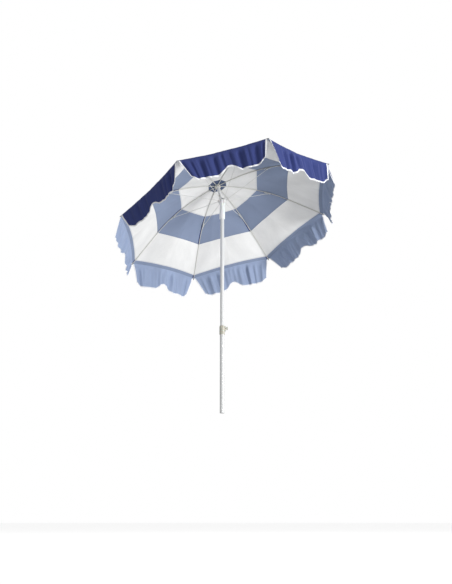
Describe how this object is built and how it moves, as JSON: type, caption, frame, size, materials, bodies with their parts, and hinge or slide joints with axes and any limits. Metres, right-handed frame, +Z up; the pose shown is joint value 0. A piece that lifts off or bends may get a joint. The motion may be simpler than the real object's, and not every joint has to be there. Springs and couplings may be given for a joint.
{
  "type": "beach umbrella",
  "caption": "Tilting beach umbrella with a banded gored canopy, hanging valance, folding ribs and stretchers on a sliding runner, and a two-part pole with a screw clamp.",
  "frame": {"origin": "centre of the pole's foot, at the lower end of the part that a base or the ground holds", "axes": "+Z up the pole; the canopy leans towards +X and its tilt pivot runs along Y"},
  "size_m": [1.6272, 1.761, 2.0586],
  "materials": {
    "pole_paint": "semi-gloss white powder coat",
    "white_plastic": "satin moulded white",
    "hub_plastic": "satin moulded ivory",
    "clamp_plastic": "slightly translucent ivory moulding",
    "clip_plastic": "satin moulded grey-beige",
    "tip_plastic": "matt moulded grey",
    "dark_plastic": "matt moulded black",
    "bracket_paint": "off-white enamel",
    "rib_paint": "cream-grey enamel",
    "stretcher_paint": "cream-grey enamel",
    "rivet_brass": "dull brass plate",
    "steel_wire": "bright wire",
    "canopy_fabric": "woven polyester, navy and white bands"
  },
  "bodies": {
    "lower_pole": {"lower_pole": "pole_paint", "foot_plug": "dark_plastic", "clamp_collar": "clamp_plastic"},
    "clamp_pad": {"clamp_pad": "dark_plastic"},
    "clamp_screw": {"clamp_screw": "clamp_plastic"},
    "mast": {"mast": "pole_paint", "mast_glide": "dark_plastic", "tilt_fitting": "white_plastic"},
    "runner": {"runner": "white_plastic"},
    "head": {"tilt_bracket": "bracket_paint", "tilt_pins": "rivet_brass", "upper_tube": "pole_paint", "hub": "hub_plastic", "hub_pins": "steel_wire", "crown_patch": "canopy_fabric", "finial": "hub_plastic"},
    "rib_1": {"rib_1": "rib_paint", "rib_clip_1": "clip_plastic", "rib_tip_1": "tip_plastic", "canopy_1": "canopy_fabric"},
    "stretcher_1": {"stretcher_1": "stretcher_paint"},
    "rib_2": {"rib_2": "rib_paint", "rib_clip_2": "clip_plastic", "rib_tip_2": "tip_plastic", "canopy_2": "canopy_fabric"},
    "stretcher_2": {"stretcher_2": "stretcher_paint"},
    "rib_3": {"rib_3": "rib_paint", "rib_clip_3": "clip_plastic", "rib_tip_3": "tip_plastic", "canopy_3": "canopy_fabric"},
    "stretcher_3": {"stretcher_3": "stretcher_paint"},
    "rib_4": {"rib_4": "rib_paint", "rib_clip_4": "clip_plastic", "rib_tip_4": "tip_plastic", "canopy_4": "canopy_fabric"},
    "stretcher_4": {"stretcher_4": "stretcher_paint"},
    "rib_5": {"rib_5": "rib_paint", "rib_clip_5": "clip_plastic", "rib_tip_5": "tip_plastic", "canopy_5": "canopy_fabric"},
    "stretcher_5": {"stretcher_5": "stretcher_paint"},
    "rib_6": {"rib_6": "rib_paint", "rib_clip_6": "clip_plastic", "rib_tip_6": "tip_plastic", "canopy_6": "canopy_fabric"},
    "stretcher_6": {"stretcher_6": "stretcher_paint"},
    "rib_7": {"rib_7": "rib_paint", "rib_clip_7": "clip_plastic", "rib_tip_7": "tip_plastic", "canopy_7": "canopy_fabric"},
    "stretcher_7": {"stretcher_7": "stretcher_paint"},
    "rib_8": {"rib_8": "rib_paint", "rib_clip_8": "clip_plastic", "rib_tip_8": "tip_plastic", "canopy_8": "canopy_fabric"},
    "stretcher_8": {"stretcher_8": "stretcher_paint"}
  },
  "joints": [
    {"name": "height_slide", "type": "slide", "parent": "lower_pole", "child": "mast", "axis": [0, 0, 1], "range_m": [-0.17, 0.25]},
    {"name": "clamp_press", "type": "slide", "parent": "lower_pole", "child": "clamp_pad", "axis": [-0.7071, -0.7071, 0], "range_m": [0, 0.0025]},
    {"name": "clamp_turn", "type": "hinge", "parent": "clamp_pad", "child": "clamp_screw", "pos_m": [-0.02121, -0.02121, 0.694], "axis": [-0.7071, -0.7071, 0], "range_deg": [0, 720.1]},
    {"name": "runner_slide", "type": "slide", "parent": "mast", "child": "runner", "axis": [0, 0, 1], "range_m": [-0.70704, 0], "deforming": ["canopy_1", "canopy_2", "canopy_3", "canopy_4", "canopy_5", "canopy_6", "canopy_7", "canopy_8", "crown_patch"]},
    {"name": "tilt", "type": "hinge", "parent": "mast", "child": "head", "pos_m": [0, 0, 1.809], "axis": [0, 1, 0], "range_deg": [-22.5, 0]},
    {"name": "rib_1_fold", "type": "hinge", "parent": "head", "child": "rib_1", "pos_m": [0.0762, 0.00765, 1.94467], "axis": [-0.3536, 0.9239, 0.1464], "range_deg": [0, 70.05]},
    {"name": "stretcher_1_fold", "type": "hinge", "parent": "rib_1", "child": "stretcher_1", "pos_m": [0.41952, 0.17534, 1.71564], "axis": [-0.3536, 0.9239, 0.1464], "range_deg": [-142.24, 0]},
    {"name": "rib_2_fold", "type": "hinge", "parent": "head", "child": "rib_2", "pos_m": [0.0662, 0.01848, 1.94881], "axis": [-0.8536, 0.3827, 0.3536], "range_deg": [0, 70.05]},
    {"name": "stretcher_2_fold", "type": "hinge", "parent": "rib_2", "child": "stretcher_2", "pos_m": [0.19042, 0.42332, 1.81053], "axis": [-0.8536, 0.3827, 0.3536], "range_deg": [-141.46, 0]},
    {"name": "rib_3_fold", "type": "hinge", "parent": "head", "child": "rib_3", "pos_m": [0.05205, 0.01848, 1.95467], "axis": [-0.8536, -0.3827, 0.3536], "range_deg": [0, 70.05]},
    {"name": "stretcher_3_fold", "type": "hinge", "parent": "rib_3", "child": "stretcher_3", "pos_m": [-0.13357, 0.42332, 1.94473], "axis": [-0.8536, -0.3827, 0.3536], "range_deg": [-140.42, 0]},
    {"name": "rib_4_fold", "type": "hinge", "parent": "head", "child": "rib_4", "pos_m": [0.04205, 0.00765, 1.95881], "axis": [-0.3536, -0.9239, 0.1464], "range_deg": [0, 70.05]},
    {"name": "stretcher_4_fold", "type": "hinge", "parent": "rib_4", "child": "stretcher_4", "pos_m": [-0.36266, 0.17534, 2.03963], "axis": [-0.3536, -0.9239, 0.1464], "range_deg": [-139.75, 0]},
    {"name": "rib_5_fold", "type": "hinge", "parent": "head", "child": "rib_5", "pos_m": [0.04205, -0.00765, 1.95881], "axis": [0.3536, -0.9239, -0.1464], "range_deg": [0, 70.05]},
    {"name": "stretcher_5_fold", "type": "hinge", "parent": "rib_5", "child": "stretcher_5", "pos_m": [-0.36266, -0.17534, 2.03963], "axis": [0.3536, -0.9239, -0.1464], "range_deg": [-139.75, 0]},
    {"name": "rib_6_fold", "type": "hinge", "parent": "head", "child": "rib_6", "pos_m": [0.05205, -0.01848, 1.95467], "axis": [0.8536, -0.3827, -0.3536], "range_deg": [0, 70.05]},
    {"name": "stretcher_6_fold", "type": "hinge", "parent": "rib_6", "child": "stretcher_6", "pos_m": [-0.13357, -0.42332, 1.94473], "axis": [0.8536, -0.3827, -0.3536], "range_deg": [-140.42, 0]},
    {"name": "rib_7_fold", "type": "hinge", "parent": "head", "child": "rib_7", "pos_m": [0.0662, -0.01848, 1.94881], "axis": [0.8536, 0.3827, -0.3536], "range_deg": [0, 70.05]},
    {"name": "stretcher_7_fold", "type": "hinge", "parent": "rib_7", "child": "stretcher_7", "pos_m": [0.19042, -0.42332, 1.81053], "axis": [0.8536, 0.3827, -0.3536], "range_deg": [-141.46, 0]},
    {"name": "rib_8_fold", "type": "hinge", "parent": "head", "child": "rib_8", "pos_m": [0.0762, -0.00765, 1.94467], "axis": [0.3536, 0.9239, -0.1464], "range_deg": [0, 70.05]},
    {"name": "stretcher_8_fold", "type": "hinge", "parent": "rib_8", "child": "stretcher_8", "pos_m": [0.41952, -0.17534, 1.71564], "axis": [0.3536, 0.9239, -0.1464], "range_deg": [-142.24, 0]}
  ],
  "couplings": [
    {"joint": "clamp_turn", "follows": "clamp_press", "rad_per_m": 5026.5},
    {"joint": "rib_1_fold", "follows": "runner_slide", "rad_per_m": -1.7279},
    {"joint": "stretcher_1_fold", "follows": "runner_slide", "rad_per_m": 3.5087},
    {"joint": "rib_2_fold", "follows": "runner_slide", "rad_per_m": -1.7279},
    {"joint": "stretcher_2_fold", "follows": "runner_slide", "rad_per_m": 3.4895},
    {"joint": "rib_3_fold", "follows": "runner_slide", "rad_per_m": -1.7279},
    {"joint": "stretcher_3_fold", "follows": "runner_slide", "rad_per_m": 3.4639},
    {"joint": "rib_4_fold", "follows": "runner_slide", "rad_per_m": -1.7279},
    {"joint": "stretcher_4_fold", "follows": "runner_slide", "rad_per_m": 3.4471},
    {"joint": "rib_5_fold", "follows": "runner_slide", "rad_per_m": -1.7279},
    {"joint": "stretcher_5_fold", "follows": "runner_slide", "rad_per_m": 3.4471},
    {"joint": "rib_6_fold", "follows": "runner_slide", "rad_per_m": -1.7279},
    {"joint": "stretcher_6_fold", "follows": "runner_slide", "rad_per_m": 3.4639},
    {"joint": "rib_7_fold", "follows": "runner_slide", "rad_per_m": -1.7279},
    {"joint": "stretcher_7_fold", "follows": "runner_slide", "rad_per_m": 3.4895},
    {"joint": "rib_8_fold", "follows": "runner_slide", "rad_per_m": -1.7279},
    {"joint": "stretcher_8_fold", "follows": "runner_slide", "rad_per_m": 3.5087}
  ]
}
